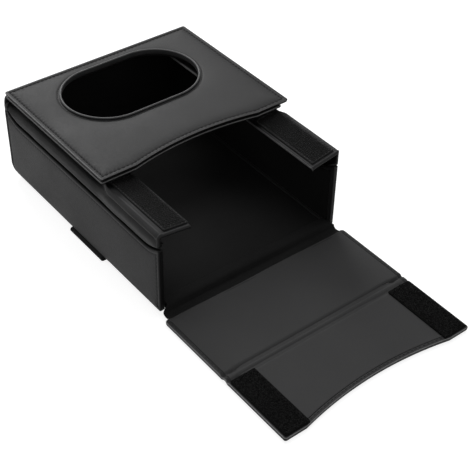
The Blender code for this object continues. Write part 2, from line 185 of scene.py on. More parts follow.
def ranged(tree, value, start=0.0, end=1.0, low=0.0, high=1.0, **settings):
    """Maps the range from start to end to the one from low to high."""
    sockets = {"Value": value, "From Min": start, "From Max": end, "To Min": low, "To Max": high}
    return add(tree, "ShaderNodeMapRange", sockets, **settings)


def make_leather_group():
    """Pebbled leather: mottled colour, paler with wear and painted highlight, with painted shade in seams,
    folds and hollows.
    """
    tree, given = new_group("leather grain", {
        "Colour": (0.03, 0.03, 0.031, 1), "Wear And Highlight Colour": (0.07, 0.07, 0.07, 1), "Roughness": 0.45,
        "Pebbles Per Metre": 1500.0, "Mottle": 0.14}, surface)
    place = add(tree, "ShaderNodeTexCoord").outputs["Object"]
    cloud = add(tree, "ShaderNodeTexNoise", {"Vector": place, "Scale": 38.0, "Detail": 4.0, "Roughness": 0.6})
    speck = add(tree, "ShaderNodeTexNoise", {"Vector": place, "Scale": 620.0, "Detail": 2.0})
    pebble = add(tree, "ShaderNodeTexVoronoi", {"Vector": place, "Scale": given["Pebbles Per Metre"]},
                 feature="DISTANCE_TO_EDGE")
    raised = ranged(tree, pebble, end=0.28, interpolation_type="SMOOTHSTEP")
    relief_wear_and_light = add(tree, "ShaderNodeAttribute", attribute_name="relief_wear_and_light").outputs["Fac"]
    # Wear and painted highlight: the colour pales where the stored value is high.
    patchy = maths(tree, "MULTIPLY", ranged(tree, relief_wear_and_light, 0.25, 0.9), ranged(tree, speck, low=0.5, high=1.4))
    mixed = add(tree, "ShaderNodeMix", {0: patchy, 6: given["Colour"], 7: given["Wear And Highlight Colour"]},
                data_type="RGBA").outputs[2]
    centred = maths(tree, "SUBTRACT", maths(tree, "ADD", cloud, speck), 1.0)
    varied = maths(tree, "MULTIPLY_ADD", centred, given["Mottle"], 1.0)
    # Painted shade: the colour darkens where the stored value is low, down in seams, folds and recesses, and
    # a little between the pebbles.
    dimmed = maths(tree, "MULTIPLY", varied, ranged(tree, relief_wear_and_light, -1.4, -0.12, low=0.12))
    shade = maths(tree, "MULTIPLY", dimmed, ranged(tree, raised, low=0.86))
    add(tree, "NodeGroupOutput", {
        "Colour": add(tree, "ShaderNodeVectorMath", {0: mixed, "Scale": shade}, operation="SCALE"),
        "Roughness": maths(tree, "MULTIPLY_ADD", centred, 0.16, given["Roughness"]),
        "Height": maths(tree, "MULTIPLY_ADD", speck, 0.6, raised)})
    return tree


def make_look(name, group, values, bump, depth=0.1 * mm, specular=0.5):
    """A material whose colour, roughness and relief come from a group with its own values."""
    look = bpy.data.materials.new(name)
    look.use_nodes = True
    tree = look.node_tree
    source = add(tree, "ShaderNodeGroup", values, node_tree=group).outputs
    relief = add(tree, "ShaderNodeBump", {"Strength": bump, "Distance": depth, "Height": source["Height"]})
    shader = tree.nodes["Principled BSDF"].inputs
    tree.links.new(source["Colour"], shader["Base Color"])
    tree.links.new(source["Roughness"], shader["Roughness"])
    tree.links.new(relief.outputs["Normal"], shader["Normal"])
    shader["Specular IOR Level"].default_value = specular
    return look


leather_group = make_leather_group()
# Its wear and highlight colour is mostly a painted highlight along the leather's edges, partly wear.
cover_leather = make_look(
    "satin black leather", leather_group,
    {"Colour": (0.027, 0.027, 0.0275, 1), "Wear And Highlight Colour": (0.3, 0.3, 0.302, 1), "Roughness": 0.5}, 0.22,
    specular=0.1)


def outline(corners, inset=0.0, step=panel_step, arc=5):
    """Points round a flat panel of (u, v, radius) corners, moved inwards. Every inset gives as many."""
    spots = [Vector(corner[:2]) for corner in corners]
    ways = [after - before for before, after in zip(spots, spots[1:] + spots[:1])]
    arcs = []
    for i, (spot, (*_, radius)) in enumerate(zip(spots, corners)):
        before, after = (Vector((-way.y, way.x)).normalized() for way in (ways[i - 1], ways[i]))
        middle = (before + after) / (1 + before.dot(after))
        place = spot + inset * middle
        if not radius:
            arcs.append([place])
            continue
        radius = max(radius - inset, 0.15 * mm)
        centre = place + middle * radius
        arcs.append([centre - before.slerp(after, k / arc) * radius for k in range(arc + 1)])
    points = []
    for here, there, way in zip(arcs, arcs[1:] + arcs[:1], ways):
        count = max(1, round(way.length / step))
        points += here + [here[-1].lerp(there[0], k / count) for k in range(1, count)]
    return points


def run_along(points, closed=True):
    """The distance along a path to each of its points, and the whole length."""
    runs = [0.0]
    for before, after in zip(points, points[1:] + points[:1]):
        runs.append(runs[-1] + (after - before).length)
    return runs[:-1], runs[-1 if closed else -2]


def hollowed_edge(y, span, depth, steps=24):
    """Corners along an edge at y, from -X to +X, whose middle is drawn in by a shallow arc."""
    radius = (span ** 2 / 4 + depth ** 2) / (2 * depth)
    spots = [span * (step / steps - 1 / 2) for step in range(steps + 1)]
    return [(x, y + sqrt(radius ** 2 - x ** 2) - (radius - depth), 0) for x in spots]


def inside(points, ring):
    """Which of these flat points lie in a closed ring."""
    x, y = points[:, 0], points[:, 1]
    found = np.zeros(len(points), bool)
    ring = np.array([tuple(point) for point in ring])
    for (ax, ay), (bx, by) in zip(ring, np.roll(ring, -1, axis=0)):
        if ay != by:
            found ^= ((ay > y) != (by > y)) & (x < ax + (y - ay) * (bx - ax) / (by - ay))
    return found


def fill(ring, spacing, hole=None):
    """Fills a ring, round its hole, with an even net of triangles. Gives its flat points, the ring's own
    first and then the hole's, and its faces."""
    points, edges = [], []
    for some in [ring] + ([hole] if hole else []):
        start, count = len(points), len(some)
        points += [Vector(point) for point in some]
        edges += [(start + i, start + (i + 1) % count) for i in range(count)]
    fixed = np.array([tuple(point) for point in points])
    low, high = fixed.min(0), fixed.max(0)
    rise = spacing * sqrt(3) / 2
    rows = range(1, int((high[1] - low[1]) / rise) + 1)
    columns = range(int((high[0] - low[0]) / spacing) + 1)
    net = np.array([(low[0] + (i + (row % 2) / 2) * spacing, low[1] + row * rise)
                    for row in rows for i in columns] or [(0, 0)])
    keep = inside(net, ring)
    if hole:
        keep &= ~inside(net, hole)
    net = net[keep]
    if len(net):
        apart = np.array([np.min(np.hypot(*(fixed - spot).T)) for spot in net])
        net = net[apart > spacing * 0.55]
    points += [Vector(spot) for spot in net]
    spots, _, faces, sources, *_ = delaunay_2d_cdt(points, edges, [list(range(len(ring)))], 1, 1e-9)
    if hole:
        centres = np.array([tuple(sum((spots[i] for i in face), Vector((0, 0))) / len(face))
                            for face in faces])
        faces = [face for face, out in zip(faces, ~inside(centres, hole)) if out]
    return points, [[sources[i][0] for i in face] for face in faces]


def smooth_mesh(verts, faces, relief_wear_and_light=None):
    """A mesh with its faces turned outwards and shaded smoothly, and each point's relief, wear and painted
    light in mm.
    """
    mesh = bpy.data.meshes.new("piece")
    mesh.from_pydata(verts, [], faces)
    if relief_wear_and_light is not None:
        lifted = mesh.attributes.new("relief_wear_and_light", "FLOAT", "POINT").data
        lifted.foreach_set("value", [rise / mm for rise in relief_wear_and_light])
    bm = bmesh.new()
    bm.from_mesh(mesh)
    bmesh.ops.recalc_face_normals(bm, faces=bm.faces)
    if bm.calc_volume(signed=True) < 0:
        bmesh.ops.reverse_faces(bm, faces=bm.faces)
    bm.to_mesh(mesh)
    bm.free()
    mesh.shade_smooth()
    return mesh


def bands(rings):
    """The faces between one closed ring of numbered points and the next, all of as many points."""
    return [(first[i - 1], first[i], second[i], second[i - 1])
            for first, second in zip(rings, rings[1:]) for i in range(len(first))]


def panel_mesh(corners, place, rows, relief, spacing=1.8 * mm, step=panel_step, hole=None, edge_light=None):
    """A closed panel through rings at (inset, depth, share of the relief, wear and painted light), from the
    middle of its face round its edge to the middle of its far side. hole is the same for its mouth, as (ring,
    depth, share).
    Its last argument (u, v) scales a place's wear and painted highlight, and makes it painted shade if
    negative."""
    verts, relief_wear_and_light = [], []
    seam_runs, seam = run_along(outline(corners, seam_inset, step))
    edge = np.array([tuple(point) for point in outline(corners, 0, step)])

    def within(point):
        return float(np.min(np.hypot(*(edge - point).T)))

    def put(point, depth, share, inset, along=None, wear_and_light=0.0):
        rise = share * relief(point.x, point.y, inset, along)
        verts.append(place(point.x, point.y, depth - rise))
        # Wear and painted highlight, scaled by place; where the scale is negative it turns into painted
        # shade.
        if edge_light and wear_and_light > 0:
            wear_and_light *= edge_light(point.x, point.y)
        # The stored value holds the relief's height as well, so hollows get painted shade and crowns a pale
        # wear and highlight.
        relief_wear_and_light.append(rise + wear_and_light)
        return len(verts) - 1

    rings = [[put(point, depth, share, inset, (run, seam), wear_and_light)
              for point, run in zip(outline(corners, inset, step), seam_runs)]
             for inset, depth, share, wear_and_light in rows]
    holes = [[put(point, depth, share, within(point)) for point in ring] for ring, depth, share in hole or []]
    faces = bands(rings) + bands(holes)
    for end in (0, -1):
        inset, depth, share, _ = rows[end]
        points, made = fill(outline(corners, inset, step), spacing if share else 4 * spacing,
                            hole[end][0] if hole else None)
        known = rings[end] + (holes[end] if hole else [])
        known += [put(point, depth, share, within(point)) for point in points[len(known):]]
        faces += [[known[i] for i in face] for face in made]
    return smooth_mesh(verts, faces, relief_wear_and_light)


def edge_rows(thick, face_edge, back_edge):
    """Rows round a panel's edge, from its face to its back. An edge with wear and painted highlight is palest
    half way round it, and one with painted shade is darkest at its rim."""
    quarter = [pi / 2 * k / 5 for k in range(6)]

    def wear_and_light(a, most):
        return most * (sin(2 * a) if most > 0 else sin(a))

    (face_in, face_deep, face_wear_and_light), (back_in, back_deep, back_wear_and_light) = face_edge, back_edge
    face = [(face_in * (1 - sin(a)), face_deep * (1 - cos(a)), cos(a) ** 2, wear_and_light(a, face_wear_and_light))
            for a in quarter]
    back = [(back_in * (1 - sin(a)), thick - back_deep * (1 - cos(a)), 0, wear_and_light(a, back_wear_and_light))
            for a in reversed(quarter)]
    return face + back


def cover_rows(thick, face_edge=plain_edge, back_edge=plain_edge):
    """The leather round a board: its face, rounded edge, margin turned in, and the hollow for the board."""
    skin, start = leather_thick, back_edge[0]
    face = [(inset * mm, 0, 1, 0) for inset in face_insets]
    margin = [(start + (turn_in - start) * share, thick, 0, 0) for share in (0.3, 0.6, 0.85)]
    hollow = [(turn_in, thick - 0.15 * mm, 0, 0), (turn_in, thick - skin, 0, 0), (skin, thick - skin, 0, 0),
              (skin, skin, 0, 0)]
    return face + edge_rows(thick, face_edge, back_edge) + margin + hollow


def mound(away, width):
    """1 in the middle of a soft ridge or groove, and next to nothing at twice its width."""
    return exp(-(away / width) ** 2)


def marks(away, *ridges):
    """The height of ridges and grooves at a distance, each given by its place, width and height in mm."""
    return sum(height * mm * mound(away - place * mm, width * mm) for place, width, height in ridges)


def sewn_edge(inset, along=None, swell=swell, depth=seam_depth, pucker=pucker_depth):
    """The height of leather at this inset from a sewn edge: it swells up inside the seam and puckers at it,
    once for each stitch. along is the distance along the seam, and the seam's length."""
    away = inset - seam_inset
    if away >= 0:
        height = -swell * exp(-away / swell_reach)
    else:
        height = -swell + 0.5 * swell * sin(pi / 2 * min(1, (seam_inset - inset) / (1.3 * mm)))
    height -= depth * mound(away, 0.45 * mm)
    if along:
        run, length = along
        beat = 0.5 + 0.5 * cos(2 * pi * run * round(length / stitch_pitch) / length)
        height += pucker * (0.5 - beat) * mound(away, 0.9 * mm if away < 0 else 1.9 * mm)
    return height


top_low, top_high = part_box("top_cover")
mouth_y = top_high.y - mouth_setback
mouth_radius, mouth_straight = mouth_width / 2, (mouth_length - mouth_width) / 2


def mouth_line(offset, round_steps=44, straight_steps=30):
    """The oval of the mouth, a slot with round ends, moved outwards by offset."""
    radius, points = mouth_radius + offset, []
    for side in (1, -1):
        turns = [side * (-pi / 2 + pi * k / round_steps) for k in range(round_steps + 1)]
        points += [Vector((side * (mouth_straight + radius * cos(a)), mouth_y + radius * sin(a)))
                   for a in turns]
        start, end = side * mouth_straight, -side * mouth_straight
        points += [Vector((start + (end - start) * k / straight_steps, mouth_y + side * radius))
                   for k in range(1, straight_steps)]
    return points


def mouth_offset(x, y):
    """How far a point lies outside the mouth's oval."""
    return hypot(max(abs(x) - mouth_straight, 0.0), y - mouth_y) - mouth_radius


def wave(x, y, size, seed):
    """A slow unevenness from -1 to 1."""
    return noise.noise(Vector((x / size, y / size, seed)))


def top_relief(x, y, inset, along=None):
    away = mouth_offset(x, y) - mouth_seam
    height = sewn_edge(inset, along) - mouth_dip * exp(-max(away, 0.0) / mouth_dip_reach)
    return height + marks(away, mouth_groove) + 0.12 * mm * wave(x, y, 34 * mm, 1)


def fit(name, mesh, look, body="box", stands_for=()):
    """Puts a finished piece, under its name, on its body in place of the nodes it stands for."""
    mesh.name = name
    mesh.materials.clear()
    mesh.materials.append(look)
    piece = bpy.data.objects.new(name, mesh)
    studio.collection.objects.link(piece)
    if body:
        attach(piece, body)
    if stands_for:
        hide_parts(*stands_for)
    return piece


def top_outline(low, high, corner=1.5 * mm, stuffed=0.35 * mm):
    """The corners of the top or of the layer under it, a little fuller than the bare boards."""
    left, right, front, back = low.x - stuffed, high.x + stuffed, low.y - stuffed, high.y + stuffed
    return [(left, front, corner), *hollowed_edge(front, top_hollow_span, top_hollow_depth),
            (right, front, corner), (right, back, corner), (left, back, corner)]


def flat(axis, level, way):
    """Places a panel's (u, v, depth) on a flat across this axis, with its depth going this way."""
    def place(u, v, w):
        spot = [u, v]
        spot.insert(axis, level + way * w)
        return Vector(spot)
    return place


def between(value, start, length):
    """How far a value has come from start over a length, from 0 to 1."""
    return min(1.0, max(0.0, (value - start) / length))


def top_edge_light(x, y, rim=1 * mm):
    """Wear and painted highlight on the top's front and left edges, painted shade on its right and back
    edges.
    """
    if x > top_high.x - rim:
        return -0.9
    if y > top_high.y - rim:
        return 0.8 - 1.7 * between(x, top_low.x, 25 * mm)
    return 1 if x < top_low.x + rim else 0.7


on_top = flat(2, top_high.z, -1)
top_corners = top_outline(top_low, top_high)
top_hole = [(mouth_line(offset * mm), 0, 1) for offset in (4.8, 4.2, 3.7, 3.3, 3.0, 2.75, 2.5, 2.1, 1.5, 0.9)]
top_hole.append((mouth_line(0.9 * mm), leather_thick, 0))
top_rows = cover_rows(top_high.z - top_low.z, ridge_edge, under_edge)
fit("top_leather", panel_mesh(top_corners, on_top, top_rows, top_relief, hole=top_hole, edge_light=top_edge_light),
    cover_leather, stands_for=["top_cover"])

# Every seam is a row of lockstitch in black thread. One stitch is a short round of thread whose
# ends dip into the leather, repeated along the seam.
thread_colour, thread_thick, stitch_share = (0.003, 0.003, 0.0031, 1), 0.85 * mm, 0.62


def vector(tree, x=0.0, y=0.0, z=0.0):
    return add(tree, "ShaderNodeCombineXYZ", {"X": x, "Y": y, "Z": z})


def facing_tangent(tree):
    """A turn that stands a thing's Z along the line that carries it."""
    way = add(tree, "GeometryNodeInputTangent")
    return add(tree, "FunctionNodeAlignRotationToVector", {"Vector": way}, axis="Z")


def end_tree(tree, copies, thread):
    """Makes copies real, smooth and of their thread, as what the tree gives out."""
    real = add(tree, "GeometryNodeRealizeInstances", {"Geometry": copies})
    smooth = add(tree, "GeometryNodeSetShadeSmooth", {"Geometry": real})
    dyed = add(tree, "GeometryNodeSetMaterial", {"Geometry": smooth, "Material": thread})
    add(tree, "NodeGroupOutput", {0: dyed})
    return tree


def make_stitch_tree():
    """Lays a stitch on every point of the lines that it gets, along the line."""
    tree, given = new_group("lockstitch", {
        "Seam": "Geometry", "Pitch": stitch_pitch, "Stitch Share": stitch_share,
        "Thread Thickness": thread_thick, "Thread": "Material"}, {"Stitches": "Geometry"}, "GeometryNodeTree")
    thick = given["Thread Thickness"]
    bead = add(tree, "GeometryNodeMeshUVSphere", {"Segments": 6, "Rings": 6, "Radius": 0.5})
    size = vector(tree, thick, thick, maths(tree, "MULTIPLY", given["Pitch"], given["Stitch Share"]))
    stitch = add(tree, "GeometryNodeTransform", {"Geometry": bead, "Scale": size})
    line = add(tree, "GeometryNodeMeshToCurve", {"Mesh": given["Seam"]})
    row = add(tree, "GeometryNodeInstanceOnPoints", {"Points": line, "Instance": stitch,
                                                     "Rotation": facing_tangent(tree)})
    return end_tree(tree, row, given["Thread"])


def grown(tree, mesh, values):
    """The plain mesh that a geometry tree with these values makes of another mesh."""
    carrier = bpy.data.objects.new("carrier", mesh)
    studio.collection.objects.link(carrier)
    modifier = carrier.modifiers.new("grown", "NODES")
    modifier.node_group = tree
    for socket in tree.interface.items_tree:
        if socket.in_out == "INPUT" and socket.name in values:
            modifier[socket.identifier] = values[socket.name]
    result = bpy.data.meshes.new_from_object(carrier.evaluated_get(bpy.context.evaluated_depsgraph_get()))
    bpy.data.objects.remove(carrier)
    return result


def make_thread_group():
    """Twisted thread: fine slanting strands, with a painted highlight along each strand's crest."""
    tree, given = new_group("thread twist", {"Colour": thread_colour, "Roughness": 0.6}, surface)
    place = add(tree, "ShaderNodeTexCoord").outputs["Object"]
    strands = add(tree, "ShaderNodeTexWave", {"Vector": place, "Scale": 900.0, "Distortion": 2.0},
                  bands_direction="DIAGONAL").outputs["Fac"]
    paler = ranged(tree, strands, low=0.6, high=1.5)
    add(tree, "NodeGroupOutput", {
        "Colour": add(tree, "ShaderNodeVectorMath", {0: given["Colour"], "Scale": paler}, operation="SCALE"),
        "Roughness": maths(tree, "MULTIPLY_ADD", strands, 0.1, given["Roughness"]), "Height": strands})
    return tree


thread_group = make_thread_group()
black_thread = make_look("black thread", thread_group, {}, 0.3, specular=0.15)
stitch_tree = make_stitch_tree()


def sew(name, points, closed=True, body="box", pitch=stitch_pitch, thick=thread_thick,
        thread=black_thread):
    """Sews a row of stitches along a line, or round a closed one."""
    runs, length = run_along(points, closed)
    count = round(length / pitch)
    ends = points + points[:1]
    verts = []
    for k in range(count + (not closed)):
        run = k * length / count
        i = max(i for i in range(len(points) - (not closed)) if i == 0 or runs[i] <= run)
        verts.append(ends[i] + (ends[i + 1] - ends[i]).normalized() * (run - runs[i]))
    line = bpy.data.meshes.new("seam")
    line.from_pydata(verts, [(k, (k + 1) % len(verts)) for k in range(count)], [])
    values = {"Pitch": pitch, "Thread Thickness": thick, "Thread": thread}
    return fit(name, grown(stitch_tree, line, values), thread, body)


def seam_round(corners, place, relief, proud=0.0):
    """A closed seam that lies in the leather round a panel's face."""
    return [place(p.x, p.y, -(relief(p.x, p.y, seam_inset) + proud)) for p in outline(corners, seam_inset)]


sew("top_stitches", seam_round(top_corners, on_top, top_relief, proud=0.06 * mm), thick=0.75 * mm)
mouth_row = [on_top(p.x, p.y, -top_relief(p.x, p.y, 14 * mm) - 0.05 * mm) for p in mouth_line(mouth_seam)]
sew("mouth_stitches", mouth_row, pitch=2.3 * mm, thick=0.5 * mm)

# The mouth's edge is bound with a strip of leather, rolled over a cord into a bead above the
# top and folded down through the opening.
bead_radius, bead_offset, binding_skin, lip_drop = 0.8 * mm, 0.75 * mm, 0.7 * mm, 3.9 * mm
bead_z = top_high.z + 0.15 * mm
lip_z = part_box("mouth_binding")[1].z - lip_drop
binding_section = [(0.0, bead_z)]
binding_section += [(bead_offset + bead_radius * cos(turn * pi), bead_z + bead_radius * sin(turn * pi))
                    for turn in np.linspace(1.0, -0.62, 15)[1:]]
binding_section += [(binding_skin, bead_z - bead_radius), (binding_skin, lip_z + 0.2 * mm), (0.4 * mm, lip_z),
                    (0.1 * mm, lip_z + 0.1 * mm)]
binding_section += [(0.0, lip_z + (bead_z - lip_z) * share) for share in (0.1, 0.4, 0.7)]


def tube_mesh(rings, relief_wear_and_light=None, looped=False):
    """A closed shell through rings of as many points, with flat ends, or looped round to its own start."""
    size = len(rings[0])
    numbers = [tuple(range(k * size, (k + 1) * size)) for k in range(len(rings))]
    faces = bands(numbers + numbers[:1]) if looped else bands(numbers) + [numbers[0], numbers[-1]]
    return smooth_mesh([spot for ring in rings for spot in ring], faces, relief_wear_and_light)


binding_leather = make_look(
    "rolled binding leather", leather_group,
    {"Colour": (0.042, 0.042, 0.043, 1), "Wear And Highlight Colour": (0.12, 0.12, 0.12, 1), "Roughness": 0.42,
     "Pebbles Per Metre": 1900.0}, 0.18, specular=0.25)
binding_rings = [[Vector((p.x, p.y, z)) for p in mouth_line(offset)] for offset, z in binding_section]
fit("mouth_binding_roll", tube_mesh(binding_rings, looped=True), binding_leather,
    stands_for=["mouth_binding"])

# Under the top lies a second wrapped layer, sewn to it all round. It joins the top to the two
# wings and shows below the top as a thin second band.
layer_low, layer_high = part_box("top_underlay")
layer_thick = layer_high.z - layer_low.z
layer_corners = top_outline(layer_low, layer_high, stuffed=0.45 * mm)
# The first of these edges gets painted shade and the second a painted highlight with wear; far_shade paints
# shade over the layer's back next to the top.
layer_upper_edge, layer_lower_edge = (1.5 * mm, 1.2 * mm, -1.8 * mm), (0.8 * mm, 0.65 * mm, 1.0 * mm)
on_layer = flat(2, layer_low.z, 1)


def flat_rows(thick, face_edge=None, back_edge=None, insets=(4.6, 3.6, 3, 2.4, 2, 1.6), far_shade=0):
    """A plain slab of leather: its face, rounded edge and flat back."""
    half = (thick / 2, thick / 2, 0)
    face = [(inset * mm, 0, 1, 0) for inset in insets]
    back = [(inset * mm, thick, 0, far_shade) for inset in ((1.1, 6) if far_shade else (6,))]
    return face + edge_rows(thick, face_edge or half, back_edge or half) + back


def layer_relief(x, y, inset, along=None):
    return 0.5 * sewn_edge(inset, along) + 0.1 * mm * wave(x, y, 28 * mm, 2)


layer_rows = flat_rows(layer_thick, layer_upper_edge, layer_lower_edge, far_shade=-1.8 * mm)
layer_hole = [(mouth_line(2.6 * mm), 0, 1), (mouth_line(2.6 * mm), layer_thick, 0)]
fit("top_lower_leather", panel_mesh(layer_corners, on_layer, layer_rows, layer_relief, hole=layer_hole),
    cover_leather, stands_for=["top_underlay"])
sew("lower_layer_stitches", seam_round(layer_corners, on_layer, layer_relief), pitch=3.2 * mm,
    thick=0.4 * mm)

# Each side wall is a wrapped board whose upper edge curls up at both ends. A seam runs up its
# front edge and back along its top, and its leather is drawn round the back corner over a cord.
wall_low, wall_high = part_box("left_wall_cover")
half_width, wall_inner_x, box_floor = -wall_low.x, -wall_high.x, wall_low.z
front_y, wall_back_y = wall_low.y, wall_high.y
wall_thick = half_width - wall_inner_x
wall_height, curl_height, curl_length = 44.5 * mm, 5 * mm, 15 * mm
wall_foot_round, wall_seam = 7.9 * mm, 2.5 * mm
wrap_y = wall_back_y + 3.9 * mm
# Painted shade round the wall's rim, which darkens the groove between the wall and the wing.
wall_edge = (1.1 * mm, 1.1 * mm, -1.6 * mm)
wall_cord, wall_cord_groove = (1.6, 0.8, 0.3), (3.2, 0.6, -0.35)
wall_corners = [(front_y, box_floor, 1.6 * mm), (wrap_y, box_floor, wall_foot_round),
                (wrap_y, box_floor + wall_height, 1.2 * mm), (front_y, box_floor + wall_height, 1.2 * mm)]


def curl(y):
    """How far a wall's upper edge has curled up at y, towards both of its ends."""
    reach = (wall_back_y - front_y) / 2
    share = max(0.0, abs(y - (front_y + wall_back_y) / 2) - reach + curl_length) / curl_length
    return curl_height * min(1.0, share) ** 2


def wall_relief(y, z, inset, along=None):
    """Sewn at the front and on top, glued at the foot, with a cord in a groove at the back."""
    to_sewn_edge, back = min(y - front_y, box_floor + wall_height - z), wrap_y - y
    if to_sewn_edge <= inset * 1.05:
        height = sewn_edge(inset, along, swell=0.42 * mm, depth=0.2 * mm, pucker=0.16 * mm)
    else:
        height = -0.3 * mm * exp(-inset / (3 * mm))
    if back < 6 * mm:
        height += marks(back, wall_cord, wall_cord_groove)
    return height + 0.16 * mm * wave(y, z, 30 * mm, 3)


def gentle(size, height, seed):
    """The relief of a glued lining: nothing but a slow unevenness."""
    return lambda u, v, inset, along: height * wave(u, v, size, seed)


low, high = box_floor + wall_seam, box_floor + wall_height - wall_seam
seam_front, seam_reach = front_y + wall_seam, wall_back_y - front_y - 3 * wall_seam
wall_seam_line = [(seam_front, low + (high - low) * k / 40) for k in range(41)]
wall_seam_line += [(seam_front + seam_reach * k / 160, high) for k in range(1, 161)]
# Dull black lining, set darker than the flap's lining as painted shade inside the box.
inner_lining = make_look(
    "black lining with painted shade", leather_group,
    {"Colour": (0.009, 0.009, 0.009, 1), "Wear And Highlight Colour": (0.02, 0.02, 0.02, 1), "Roughness": 0.8,
     "Pebbles Per Metre": 2100.0, "Mottle": 0.1}, 0.16, specular=0.08)
lining_start, lining_proud = turn_in + 0.15 * mm, 0.1 * mm
lining_rows = [(lining_start + inset, *others) for inset, *others in flat_rows(leather_thick)]


def fit_lining(name, corners, place, seed):
    """A plain lining that lies inside a panel's turned margin."""
    relief = gentle(26 * mm, 0.12 * mm, seed)
    fit(f"{name}_inner_lining", panel_mesh(corners, place, lining_rows, relief, spacing=4 * mm, step=3 * mm),
        inner_lining, stands_for=[f"{name}_lining"])


for name, side in (("left_wall", -1), ("right_wall", 1)):

    def on_wall(u, v, w, side=side):
        return Vector((side * (half_width - w), u, v + curl(u) * (v - box_floor) / wall_height))

    def on_wall_lining(u, v, w, side=side):
        return on_wall(u, v, wall_thick + lining_proud - w, side)

    wall = panel_mesh(wall_corners, on_wall, cover_rows(wall_thick, wall_edge, wall_edge), wall_relief)
    fit(f"{name}_leather", wall, cover_leather, stands_for=[f"{name}_cover"])
    fit_lining(name, wall_corners, on_wall_lining, 4)
    row = [on_wall(y, z, -wall_relief(y, z, seam_inset) - 0.03 * mm) for y, z in wall_seam_line]
    sew(f"{name}_stitches", row, closed=False, thick=0.45 * mm)

# The bottom, the back and the soft folds that join them to each other and to the top are one
# run of leather over separate boards, lined on the inside.
bottom_low, bottom_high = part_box("bottom_cover")
back_low, back_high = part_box("back_cover")
fold_low, fold_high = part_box("back_lower_fold")
upper_low, upper_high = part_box("back_upper_fold")
back_side = back_high.x - 0.6 * mm
fold_thick, upper_fold_overlap, upper_fold_tuck = 2 * mm, 5.5 * mm, 1.5 * mm
end_shade = -1.6 * mm


def rectangle(low_u, low_v, high_u, high_v, low_round, high_round):
    """A panel's four corners, with the radius of its two lower and of its two upper ones."""
    return [(low_u, low_v, low_round), (high_u, low_v, low_round), (high_u, high_v, high_round),
            (low_u, high_v, high_round)]


def soft_panel(x, y, inset, along):
    return -0.25 * mm * exp(-inset / (3 * mm)) + 0.15 * mm * (wave(x, y, 32 * mm, 5) - 1)


for name, corners, outside, within, thick in (
        ("bottom", rectangle(bottom_low.x, bottom_low.y, bottom_high.x, bottom_high.y, 2.5 * mm, 0.2 * mm),
         flat(2, bottom_low.z, 1), flat(2, bottom_high.z + lining_proud, -1), bottom_high.z - bottom_low.z),
        ("back", rectangle(-back_side, back_low.z, back_side, back_high.z, 0.2 * mm, 3.5 * mm),
         flat(1, back_high.y, -1), flat(1, back_low.y - lining_proud, 1), back_high.y - back_low.y)):
    panel = panel_mesh(corners, outside, cover_rows(thick), soft_panel, spacing=3 * mm, step=2 * mm)
    fit(f"{name}_leather", panel, cover_leather, stands_for=[f"{name}_cover"])
    fit_lining(name, corners, within, 6)


def strip_mesh(line, ends, place, thick, around=20, along=90):
    """A soft strip with rounded edges. line(t, s) is its middle in the section at s, for t from 0 to 1."""
    half = thick / 2

    def rounded(near):
        return sqrt(max(0.05, 1 - max(0.0, 1 - near / half) ** 2))

    rim = [half * share for share in (0.0, 0.12, 0.4, 0.8, 1.3)]
    inner = [ends[0] + 2 * half + (ends[1] - ends[0] - 4 * half) * k / along for k in range(along + 1)]
    rings, relief_wear_and_light = [], []
    for s in [ends[0] + reach for reach in rim] + inner + [ends[1] - reach for reach in reversed(rim)]:
        close = min(s - ends[0], ends[1] - s)
        fullness = rounded(close)
        middle = [Vector(line(k / around, s)) for k in range(around + 1)]
        runs, total = run_along(middle, closed=False)
        left, right = [], []
        for k, spot in enumerate(middle):
            way = middle[min(k + 1, around)] - middle[max(k - 1, 0)]
            off = Vector((-way.y, way.x)).normalized()
            reach = half * fullness * rounded(min(runs[k], total - runs[k]))
            left.append(place(s, *(spot + off * reach)))
            right.append(place(s, *(spot - off * reach)))
        rings.append(left + right[::-1])
        # Painted shade on the strip's rounded ends.
        relief_wear_and_light += [end_shade * (close < half)] * len(rings[-1])
    return tube_mesh(rings, relief_wear_and_light)


def lower_fold_line(t, x):
    """A quarter turn from the bottom's back edge up to the back panel's foot."""
    reach = fold_high.y - fold_low.y - fold_thick / 2
    a = pi / 2 * t
    bulge = 0.25 * mm * wave(x, a, 22 * mm, 7)
    round_z = fold_low.z + fold_thick / 2 + reach
    return (fold_low.y + (reach + bulge) * sin(a), round_z - (reach + bulge) * cos(a))


def upper_fold_line(t, x):
    """From the back panel's upper edge round and forwards, under the lower layer."""
    low = Vector((back_high.y - fold_thick / 2, back_high.z - upper_fold_overlap))
    high = Vector((upper_low.y - upper_fold_tuck, layer_low.z))
    turn = Vector((low.x + 0.6 * mm * wave(x, 0, 22 * mm, 8), high.y - 1.2 * mm))
    return low * (1 - t) ** 2 + turn * 2 * t * (1 - t) + high * t ** 2


def in_section(s, p, q):
    return Vector((s, p, q))


for name, line, reach in (("back_lower_fold", lower_fold_line, fold_high.x - 0.3 * mm),
                          ("back_upper_fold", upper_fold_line, upper_high.x - 0.6 * mm)):
    fit(f"{name}_leather", strip_mesh(line, (-reach, reach), in_section, fold_thick), cover_leather,
        stands_for=[name])

